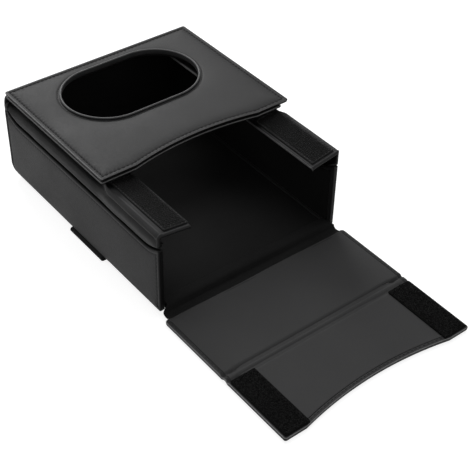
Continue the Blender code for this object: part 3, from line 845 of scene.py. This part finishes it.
# The wings are padded leather gussets. Each stands up behind its wall, flares out over the
# wall's edge, and turns in over the front mouth as a shelf that runs back under the top.
wing_thick, shelf_drop = 2.5 * mm, 9.2 * mm
wing_front_y, wing_back_y = front_y + 0.2 * mm, wall_back_y - 0.3 * mm
wing_slant, wing_end = 0.5 * mm, 5 * mm
wing_length = wing_back_y - wing_front_y
root_x, root_height, root_setback = wall_inner_x - 0.3 * mm, 2.5 * mm, 7 * mm
recess_start, recess_length, recess = top_low.y - 3 * mm, 18 * mm, 4.2 * mm
wing_outer_x, wing_outer_z = half_width - 0.2 * mm, top_high.z - shelf_drop
rise_start, rise_length = top_low.y + 12 * mm, 34 * mm
back_end_length, back_end_drop = 8 * mm, 3.2 * mm
under_top, shelf_edge_drop, shelf_rim = layer_low.z - 0.3 * mm, 1.2 * mm, 1.1 * mm
belly_fold, under_hollow, hollow_ramp = (55.6, 2.2, 0.35), (61.5, 3.8, -4.6), 26 * mm
border_marks = (2.9, 1.4, 0.3), (0.75, 0.26, -0.2), (1.6, 0.26, -0.2)
front_marks = (2.1, 0.35, -0.3), (3.2, 0.35, -0.12), (0.9, 0.7, 0.22)
shade_z, shade_depth = 53 * mm, -1.7 * mm
# rim is the painted light on each shelf's edge: painted shade on the left wing, a painted highlight on the
# right.
wings = {
    "left": {"side": -1, "inner_x": 45.6 * mm, "drop": 12.4 * mm, "shoulder": 3.2 * mm, "tape_x": 64 * mm,
             "groove": 0.9 * mm, "flare": 1.2 * mm, "crease": (59.6, 1.5, -1.2), "rim": -1.5 * mm},
    "right": {"side": 1, "inner_x": 47.4 * mm, "drop": 13.2 * mm, "shoulder": 0.9 * mm, "tape_x": 67.3 * mm,
              "groove": -0.5 * mm, "flare": 0.7 * mm, "crease": (59.6, 1.5, -0.6), "rim": 0.5 * mm},
}
# A section's points go by number: the root up to the bend over the wall's edge, the belly from there
# to the shoulder, and then the shelf.
stretch_steps, turn_steps = (8, 2, 20, 56), 8
relief_from, bend_from, slant_from, shade_to, shoulder_from = 14, 18, 20, 24, 46


def eased(share):
    return share * share * (3 - 2 * share)


def wing_line(wing, y, inset):
    """A wing's section at y as points in (|x|, z), moved inwards from its outer face by inset, with the
    shelf's edge and the way that the shelf runs there."""
    rise = eased(between(y, rise_start, rise_length))
    near_back = 1 - between(wing_back_y, y, back_end_length)
    tuck_in = eased(between(y, recess_start, recess_length)) * (1 - 0.6 * near_back)
    flare_z = box_floor + wall_height + curl(y) + wing["groove"]
    inner_z, flare = top_high.z - wing["drop"], wing["flare"]
    outer_z = wing_outer_z + rise * (under_top - wing_outer_z) - back_end_drop * near_back
    inner_z += rise * (under_top - shelf_edge_drop - inner_z)
    corners = [(root_x, flare_z - root_height, 0), (root_x, flare_z, flare),
               (wing_outer_x, flare_z + flare, 1.6 * flare),
               (wing_outer_x - recess * tuck_in, outer_z, wing["shoulder"]), (wing["inner_x"], inner_z, 0)]
    spots = [Vector(corner[:2]) for corner in corners]
    ways = [(after - before).normalized() for before, after in zip(spots, spots[1:])]
    sides = [Vector((-way.y, way.x)) for way in ways]
    stretches = [[spots[0] + inset * sides[0]]]
    for before, after, spot, corner in zip(sides, sides[1:], spots[1:], corners[1:]):
        turn = 1 if before.x * after.y - before.y * after.x > 0 else -1
        middle = (before + after) / (1 + before.dot(after))
        radius = max(corner[2] - inset, 0.2 * mm) if turn > 0 else corner[2] + inset
        centre = spot + inset * middle + turn * middle * radius
        stretches.append([centre - turn * before.slerp(after, k / turn_steps) * radius
                          for k in range(turn_steps + 1)])
    edge = spots[-1] + inset * sides[-1]
    stretches.append([edge - ways[-1] * shelf_rim])
    points = []
    for before, after, steps in zip(stretches, stretches[1:], stretch_steps):
        points += before + [before[-1].lerp(after[0], k / steps) for k in range(1, steps)]
    return points + stretches[-1], edge, ways[-1]


def wing_relief(wing, x, z, y):
    """The height of the wing's leather over its plain section: the crease and fold of its belly, the
    hollow under the top's edge, the border beside the hook tape, and the seams along its front end."""
    front, beyond = y - wing_front_y, x - wing["tape_x"]
    near = min(1.0, front / wing_end)
    height = 0.1 * mm * wave(y, z + x, 17 * mm, 9)
    if z < wing_outer_z - 1.2 * mm and x > wing_outer_x - 3 * mm:
        height += near * (0.22 * mm * wave(y, z, 11 * mm, 10) + marks(z, wing["crease"], belly_fold))
    if x > wing_outer_x - 12 * mm:
        height += eased(between(y, recess_start, hollow_ramp)) * marks(z, under_hollow)
    return height + marks(beyond, *border_marks) + marks(front, *front_marks)


def wing_shade(z, y):
    """The painted shade kept on the wing under the overhang of the top and inside the mouth, as a stored
    value in mm.
    """
    return shade_depth * between(y, recess_start, 6 * mm) * between(z, shade_z, 5.5 * mm)


def wing_mesh(wing):
    """A closed shell through sections from the wing's front end to its slanted back end. At the front its
    root is set back behind the wall, and at the back it ends with the rest."""
    side, round_end = wing["side"], 0.45 * wing_thick
    stations = [(round_end * (1 - cos(a)), round_end * (1 - sin(a)))
                for a in (pi / 2 * k / 5 for k in range(6))]
    back = [(wing_length - reach, tuck) for reach, tuck in reversed(stations)]
    stations += [(round_end + (wing_end - round_end) * k / 12, 0) for k in range(1, 13)]
    stations += [(wing_end + (wing_length - 2 * wing_end) * k / 105, 0) for k in range(1, 106)]
    rings, relief_wear_and_light = [], []
    for reach, tuck in stations + back:
        lean = max(0.0, (reach / wing_length - 0.7) / 0.3) * wing_slant
        y = wing_front_y + reach
        outer, edge, way = wing_line(wing, y, tuck)
        inner = wing_line(wing, y, wing_thick - tuck)[0]
        ring, undersides = [], []
        for i, spot in enumerate(outer):
            slant = lean * between(i, slant_from, shoulder_from - slant_from) \
                - root_setback * max(0.0, 1 - i / bend_from) * (1 - reach / wing_length)
            before, after = outer[max(i - 1, 0)], outer[min(i + 1, len(outer) - 1)]
            off = Vector(((after - before).y, -(after - before).x)).normalized()
            rise = 0.0 if i < relief_from else wing_relief(wing, spot.x, spot.y, y - slant) * (
                1 - tuck / wing_thick * 2)
            raised = spot + off * rise
            ring.append(Vector((side * raised.x, y - slant, raised.y)))
            # Painted shade at the wing's root, down the groove over the wall's edge, and under the top.
            relief_wear_and_light.append(min(end_shade * between(shade_to, i, 3), rise + wing_shade(raised.y, y - slant)))
            under = inner[i] + off * min(0.0, rise + 0.8 * mm)
            undersides.append(Vector((side * under.x, y - slant, under.y)))
        down = Vector((way.y, -way.x))
        for q in (k / 6 for k in range(1, 6)):
            spot = edge - down * (tuck + (wing_thick - 2 * tuck) * q) - way * shelf_rim * (1 - sin(pi * q))
            ring.append(Vector((side * spot.x, y - lean, spot.y)))
            relief_wear_and_light.append(wing["rim"])
        rings.append(ring + undersides[::-1])
        # Painted shade on the wing's underside.
        relief_wear_and_light += [-1.4 * mm] * len(undersides)
    return tube_mesh(rings, relief_wear_and_light)


for label, wing in wings.items():
    piece = fit(f"{label}_wing_leather", wing_mesh(wing), cover_leather,
                stands_for=[f"{label}_wing_cover", f"{label}_wing_board", f"{label}_wing_lining"])

# A strip of woven hook tape is sewn flat on each wing. Its hooks stand in close rows across it
# between two plain woven edges.
tape_width, tape_length, tape_thick, tape_start = 18 * mm, 58 * mm, 0.6 * mm, 2.5 * mm
hook_row_pitch, tape_border = 1.6 * mm, 1.5 * mm


def make_weave_group():
    """Plain woven nylon: crossing yarns, a little uneven, with a painted highlight on their crowns."""
    tree, given = new_group("nylon weave", {
        "Colour": (0.008, 0.008, 0.008, 1), "Crown Highlight Colour": (0.03, 0.03, 0.03, 1), "Roughness": 0.7,
        "Yarns Per Metre": 1800.0}, surface)
    place = add(tree, "ShaderNodeTexCoord").outputs["Object"]
    scaled = add(tree, "ShaderNodeVectorMath", {0: place, "Scale": given["Yarns Per Metre"]},
                 operation="SCALE")
    parts = add(tree, "ShaderNodeSeparateXYZ", {0: scaled}).outputs
    yarns = [maths(tree, "ABSOLUTE", maths(tree, "SINE", maths(tree, "MULTIPLY", parts[axis], pi)))
             for axis in ("X", "Y")]
    fuzz = add(tree, "ShaderNodeTexNoise", {"Vector": place, "Scale": 900.0, "Detail": 3.0})
    high = maths(tree, "MULTIPLY", maths(tree, "MULTIPLY", *yarns), fuzz)
    colour = add(tree, "ShaderNodeMix", {0: high, 6: given["Colour"], 7: given["Crown Highlight Colour"]},
                 data_type="RGBA").outputs[2]
    add(tree, "NodeGroupOutput", {
        "Colour": colour, "Height": high,
        "Roughness": maths(tree, "MULTIPLY_ADD", fuzz, 0.2, given["Roughness"])})
    return tree


def bent_thread(tree, sides, thread_radius, radius, start, sweep):
    """A short thread bent round an arc."""
    bend = add(tree, "GeometryNodeCurveArc", {"Resolution": 7, "Radius": radius, "Start Angle": start,
                                              "Sweep Angle": sweep})
    girth = add(tree, "GeometryNodeCurvePrimitiveCircle", {"Resolution": sides, "Radius": thread_radius})
    return add(tree, "GeometryNodeCurveToMesh", {"Curve": bend, "Profile Curve": girth, "Fill Caps": True})


def loosened(tree, turn, least, most, seed):
    """A turn with a random one on top, whose three angles lie between these least and most ones."""
    limits = {0: vector(tree, *least), 1: vector(tree, *most), "Seed": seed}
    angles = add(tree, "FunctionNodeRandomValue", limits, data_type="FLOAT_VECTOR")
    own_turn = add(tree, "FunctionNodeEulerToRotation", {0: angles})
    return add(tree, "FunctionNodeRotateRotation", {0: turn, 1: own_turn}, rotation_space="LOCAL")


def make_hook_tree():
    """Stands a small bent hook at every step along straight rows that run towards -X."""
    tree, given = new_group("hook rows", {
        "Rows": "Geometry", "Hook Spacing": 0.6 * mm, "Hook Radius": 0.38 * mm, "Thread Radius": 0.15 * mm,
        "Twist": 0.6, "Seed": 3, "Thread": "Material"}, {"Hooks": "Geometry"}, "GeometryNodeTree")
    line = add(tree, "GeometryNodeMeshToCurve", {"Mesh": given["Rows"]})
    even = add(tree, "GeometryNodeResampleCurve", {"Curve": line, "Length": given["Hook Spacing"]},
               mode="LENGTH")
    hook = bent_thread(tree, 4, given["Thread Radius"], given["Hook Radius"], pi - 0.3, -4.0)
    stood = add(tree, "GeometryNodeTransform", {"Geometry": hook,
                                                "Translation": vector(tree, given["Hook Radius"])})
    most = [given["Twist"]] * 3
    least = [maths(tree, "MULTIPLY", given["Twist"], -1.0)] * 3
    turn = loosened(tree, facing_tangent(tree), least, most, given["Seed"])
    row = add(tree, "GeometryNodeInstanceOnPoints", {"Points": even, "Instance": stood, "Rotation": turn})
    return end_tree(tree, row, given["Thread"])


weave_group, hook_tree = make_weave_group(), make_hook_tree()
hook_nylon = make_look(
    "hook tape nylon", weave_group, {"Colour": (0.006, 0.006, 0.0062, 1)}, 0.5, 0.2 * mm, 0.1)
hook_thread = make_look(
    "hook thread", thread_group, {"Colour": (0.014, 0.014, 0.014, 1), "Roughness": 0.4}, 0.2, specular=0.15)
waxed_thread = make_look("waxed thread", thread_group, {"Colour": (0.05, 0.05, 0.05, 1)}, 0.3, specular=0.2)
tape_y = wing_front_y + tape_start
tape_corners = rectangle(0, tape_y, tape_width, tape_y + tape_length, 1 * mm, 1 * mm)
tape_rows = flat_rows(tape_thick + 0.25 * mm, insets=(1.8, 1.4, 1.0, 0.6, 0.45))


def tape_relief(u, v, inset, along):
    if inset < tape_border:
        return -0.1 * mm * mound(inset, 0.7 * mm)
    ready = min(1.0, (inset - tape_border) / (0.5 * mm))
    return 0.3 * mm * ready * cos(2 * pi * (v - tape_y) / hook_row_pitch)


for label, wing in wings.items():
    slope = (wing["drop"] - shelf_drop) / (wing_outer_x - wing["inner_x"])
    lean = sqrt(1 + slope ** 2)

    def on_tape(u, v, w, wing=wing, slope=slope, lean=lean):
        x, height = wing["tape_x"] - u / lean, 0.3 * mm + tape_thick - w
        z = wing_outer_z - (wing_outer_x - x) * slope
        return Vector((wing["side"] * (x - height * slope / lean), v, z + height / lean))

    fit(f"{label}_hook_tape", panel_mesh(tape_corners, on_tape, tape_rows, tape_relief, spacing=0.55 * mm),
        hook_nylon, stands_for=[f"{label}_hook_patch"])
    ends = []
    for k in range(1, int((tape_length - tape_border) / hook_row_pitch) + 1):
        row = [on_tape(u, tape_y + k * hook_row_pitch, -0.2 * mm)
               for u in (tape_border + 0.5 * mm, tape_width - tape_border - 0.5 * mm)]
        ends += sorted(row, key=lambda spot: -spot.x)
    lines = bpy.data.meshes.new("hook rows")
    lines.from_pydata(ends, [(k, k + 1) for k in range(0, len(ends), 2)], [])
    fit(f"{label}_hooks", grown(hook_tree, lines, {"Thread": hook_thread}), hook_thread)
    row = [on_tape(p.x, p.y, 0.02 * mm) for p in outline(tape_corners, 1 * mm)]
    sew(f"{label}_tape_stitches", row, pitch=2.6 * mm, thick=0.42 * mm, thread=waxed_thread)

# The flap: a front panel and a tongue, two boards in one run of leather that folds between them
# and is lined with one sheet of matte leather, sewn in all round inside the turned edge.
flap_low, flap_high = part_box("front_flap_cover")
tongue_low, tongue_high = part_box("tongue_cover")
flap_thick, fold_near, fold_far = flap_high.z - flap_low.z, flap_low.y, tongue_high.y
tongue_hollow_span, tongue_hollow_depth = 112 * mm, 6.4 * mm
fold_press, fold_raise, fold_width, lining_rim = 1.0 * mm, 1.4 * mm, 0.9 * mm, (0.6, 0.6, 0.12)
# The flap's face edge, down at the floor, gets painted shade, and its upper edge a painted highlight with
# wear.
flap_face_edge, flap_back_edge = (2.4 * mm, 3.1 * mm, -1.8 * mm), (0.7 * mm, 0.7 * mm, 0.9 * mm)
flap_ends = [(flap_high.x, flap_high.y), (flap_low.x, flap_high.y)]
tongue_end = [(flap_low.x, tongue_low.y, 1.8 * mm),
              *hollowed_edge(tongue_low.y, tongue_hollow_span, tongue_hollow_depth),
              (flap_high.x, tongue_low.y, 1.8 * mm)]
flap_corners = tongue_end + [(x, y, 2.5 * mm) for x, y in flap_ends]
lining_corners = tongue_end + [(x, y + 2.5 * mm, 2.5 * mm) for x, y in flap_ends]
flap_lining_leather = make_look(
    "matte lining leather", leather_group,
    {"Colour": (0.041, 0.041, 0.0415, 1), "Wear And Highlight Colour": (0.07, 0.07, 0.07, 1), "Roughness": 0.66,
     "Pebbles Per Metre": 2100.0, "Mottle": 0.1}, 0.16, specular=0.12)


def on_flap(u, v, w):
    """On the two boards, and drawn up and pressed in at the fold between them."""
    reach = (fold_near - fold_far) / 2 + 1.6 * mm
    share = 0.5 + 0.5 * cos(pi * min(1.0, abs(v - (fold_near + fold_far) / 2) / reach))
    right = between(u, 0, 60 * mm)
    low, high = fold_raise * share, flap_thick - 0.2 * mm * share
    high -= (fold_press + 0.3 * mm * right) * mound(v - fold_near - 0.2 * mm, fold_width)
    high -= fold_press * (1 - 0.3 * right) * mound(v - fold_far + 0.1 * mm, fold_width)
    return Vector((u * (1 - 0.004 * share), v, low + (high - low) * w / flap_thick))


def on_flap_lining(u, v, w):
    return on_flap(u, v, flap_thick) + Vector((0, 0, lining_proud - 0.06 * mm - w))


def flap_relief(x, y, inset, along):
    return min(0.0, sewn_edge(inset, along, swell=0.4 * mm) + 0.1 * mm * wave(x, y, 30 * mm, 11) - 0.05 * mm)


def flap_lining_relief(x, y, inset, along):
    height = marks(inset - lining_start, lining_rim)
    right, pressed = between(x, -20 * mm, 80 * mm), between(inset, lining_start, 9 * mm)
    for line, press in ((fold_near + 0.1 * mm, 1.1 + 0.7 * right), (fold_far, 0.9 - 0.2 * right)):
        height -= pressed * press * mm * mound(y - line, 1.1 * mm)
    return height + 0.16 * mm * wave(x, y, 30 * mm, 12) + 0.05 * mm * wave(x, y, 9 * mm, 13)


flap_rows = cover_rows(flap_thick, flap_face_edge, flap_back_edge)
flap_leather = fit("flap_leather", panel_mesh(flap_corners, on_flap, flap_rows, flap_relief), cover_leather,
                   body=None, stands_for=["front_flap_cover", "tongue_cover", "tongue_hinge"])
flap_lining = fit("flap_lining", panel_mesh(lining_corners, on_flap_lining, lining_rows, flap_lining_relief,
                                            spacing=1.5 * mm),
                  flap_lining_leather, body=None, stands_for=["front_flap_lining", "tongue_lining"])
flap_seam = [p for p in outline(flap_corners, 1.9 * mm) if p.y < flap_high.y - 3 * mm]
start = next(i for i, p in enumerate(flap_seam) if p.x < 0 and p.y > fold_near)
flap_seam = [on_flap(p.x, p.y, flap_thick + 0.05 * mm) for p in flap_seam[start:] + flap_seam[:start]]
flap_stitches = sew("flap_stitches", flap_seam, closed=False, body=None, thick=0.4 * mm)
for piece in (flap_leather, flap_lining, flap_stitches):
    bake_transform(piece)

# The leather web that hinges the flap on the box is the box's own lining, which runs out over the
# front edge of the bottom, sags softly and is glued under the flap's edge.
web_thick, web_reach, web_narrow = 1.1 * mm, flap_high.x - 3 * mm, bottom_high.x - 0.3 * mm
web_spine = [Vector((y * mm, z * mm)) for y, z in (
    (-84.5, 8.3), (-88.6, 8.5), (-90.8, 7.9), (-91.9, 5.9),
    (-92.8, 3.9), (-94.8, 2.9), (-96.9, 3.3), (-98.8, 3.75))]


def web_line(t, x):
    """The web's middle: a smooth curve through the spine, with soft humps where the leather is slack."""
    knots = len(web_spine) - 1
    i = min(int(t * knots), knots - 1)
    q = t * knots - i
    p = [web_spine[min(max(i + k, 0), knots)] for k in (-1, 0, 1, 2)]
    spot = 0.5 * (2 * p[1] + (p[2] - p[0]) * q + (2 * p[0] - 5 * p[1] + 4 * p[2] - p[3]) * q ** 2
                  + (3 * p[1] - p[0] - 3 * p[2] + p[3]) * q ** 3)
    slack = max(0.0, sin(pi * (t - 0.25) / 0.75)) if t > 0.25 else 0.0
    humps = 0.45 * mm * wave(x, t * 9 * mm, 9 * mm, 14) + 0.5 * mm * max(0.0, wave(x, t, 24 * mm, 15))
    return spot + Vector((-0.4, 0.9)) * humps * slack


def on_web(s, p, q):
    """Between the walls the web is as wide as the bottom, and it widens in front of them."""
    wide = web_narrow + (web_reach - web_narrow) * between(front_y - 0.4 * mm, p, 1.5 * mm)
    return Vector((s * wide / web_reach, p, q))


web = fit("front_hinge_leather", strip_mesh(web_line, (-web_reach, web_reach), on_web, web_thick, 36, 150),
          inner_lining, body=None, stands_for=["front_hinge"])
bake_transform(web)

# Loop tape is sewn on the tongue's lining at both ends. Its pile of fine nylon loops is fuzzy
# and slightly frayed, and stops just short of the tape's edges.
bare_rim = 0.7 * mm


def make_pile_tree():
    """Stands small bent threads at random on the faces that it gets."""
    tree, given = new_group("pile", {
        "Ground": "Geometry", "Threads Per Square Metre": 2e6, "Bend Radius": 0.6 * mm, "Bend Angle": 4.2,
        "Thread Radius": 0.13 * mm, "Lean": 0.9, "Seed": 1, "Thread": "Material"},
        {"Pile": "Geometry"}, "GeometryNodeTree")
    spots = add(tree, "GeometryNodeDistributePointsOnFaces", {
        "Mesh": given["Ground"], "Density": given["Threads Per Square Metre"], "Seed": given["Seed"]}).outputs
    strand = bent_thread(tree, 3, given["Thread Radius"], given["Bend Radius"], -0.35, given["Bend Angle"])
    upright = add(tree, "GeometryNodeTransform", {"Geometry": strand, "Rotation": (pi / 2, 0, 0)})
    least = [maths(tree, "MULTIPLY", given["Lean"], -1.0)] * 2
    turn = loosened(tree, spots["Rotation"], least, [given["Lean"]] * 2 + [2 * pi], given["Seed"])
    size = add(tree, "FunctionNodeRandomValue", {2: 0.7, 3: 1.25, "Seed": given["Seed"]}, data_type="FLOAT")
    stood = add(tree, "GeometryNodeInstanceOnPoints", {
        "Points": spots["Points"], "Instance": upright, "Rotation": turn, "Scale": size.outputs[1]})
    return end_tree(tree, stood, given["Thread"])


pile_tree = make_pile_tree()
loop_nylon = make_look(
    "loop tape nylon", weave_group,
    {"Colour": (0.001, 0.001, 0.001, 1), "Crown Highlight Colour": (0.004, 0.004, 0.004, 1)}, 0.6, 0.2 * mm, 0.05)
loop_thread = make_look(
    "loop pile thread", thread_group, {"Colour": (0.005, 0.005, 0.005, 1), "Roughness": 0.55}, 0.2,
    specular=0.12)


def loop_relief(u, v, inset, along):
    return 0.12 * mm * noise.noise(Vector((u, v, 3)) / (1.3 * mm))


for seed, label in enumerate(("left", "right"), 11):
    low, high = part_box(f"{label}_loop_patch")
    corners = rectangle(low.x, low.y, high.x, high.y, 1 * mm, 1 * mm)
    rows = flat_rows(high.z - low.z, insets=(1.6, 1.0, 0.6, 0.4))
    tape = panel_mesh(corners, flat(2, high.z, -1), rows, loop_relief, spacing=0.8 * mm)
    fit(f"{label}_loop_tape", tape, loop_nylon, body="tongue", stands_for=[f"{label}_loop_patch"])
    ground = bpy.data.meshes.new("loop ground")
    spots = rectangle(low.x + bare_rim, low.y + bare_rim, high.x - bare_rim, high.y - bare_rim, 0, 0)
    ground.from_pydata([(x, y, high.z) for x, y, _ in spots], [], [(0, 1, 2, 3)])
    loops = grown(pile_tree, ground, {"Seed": seed, "Thread": loop_thread})
    fit(f"{label}_loops", loops, loop_thread, body="tongue")

# Under the box an elastic band runs from side to side. Both ends are folded back on themselves
# and sewn up, and they stand out a little at the foot of the walls.
strap_low, strap_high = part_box("elastic_strap")
strap_thick, strap_fold_back = 1.7 * mm, 18 * mm
strap_bend = (strap_high.z - strap_low.z - strap_thick) / 2
strap_tip = strap_high.x - strap_bend - strap_thick / 2
strap_foot = strap_low.z + strap_thick / 2
strap_path = [Vector((strap_tip - strap_fold_back, strap_high.z - strap_thick / 2))]
strap_path += [Vector((strap_tip + strap_bend * sin(a), strap_foot + strap_bend * (1 + cos(a))))
               for a in (pi * k / 8 for k in range(9))]
strap_path += [Vector((-p.x, p.y)) for p in reversed(strap_path)]
strap_runs, strap_length = run_along(strap_path, closed=False)
elastic = make_look("ribbed elastic", weave_group,
                    {"Colour": (0.005, 0.005, 0.0052, 1), "Yarns Per Metre": 1100.0, "Roughness": 0.75}, 0.6,
                    0.3 * mm, 0.12)


def strap_line(t, y):
    """The band's middle, which is the same at every y."""
    run = t * strap_length
    i = max(k for k in range(len(strap_path) - 1) if k == 0 or strap_runs[k] <= run)
    return strap_path[i].lerp(strap_path[i + 1], (run - strap_runs[i]) / (strap_runs[i + 1] - strap_runs[i]))


def across_box(s, p, q):
    return Vector((p, s, q))


fit("elastic_band", strip_mesh(strap_line, (strap_low.y, strap_high.y), across_box, strap_thick, 240, 24),
    elastic, stands_for=["elastic_strap"])

# What the leather hides: the grey pressed boards that stiffen every panel and the two wings, and
# the lining glued under the top. They keep the plain shapes of the frame.
pressed_board = make_look(
    "grey pressed board", leather_group,
    {"Colour": (0.21, 0.19, 0.17, 1), "Wear And Highlight Colour": (0.3, 0.28, 0.25, 1), "Roughness": 0.85,
     "Pebbles Per Metre": 700.0, "Mottle": 0.4}, 0.3)
for name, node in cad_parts.items():
    if not node.hide_render:
        node.material_slots[0].material = pressed_board if name.endswith("board") else inner_lining
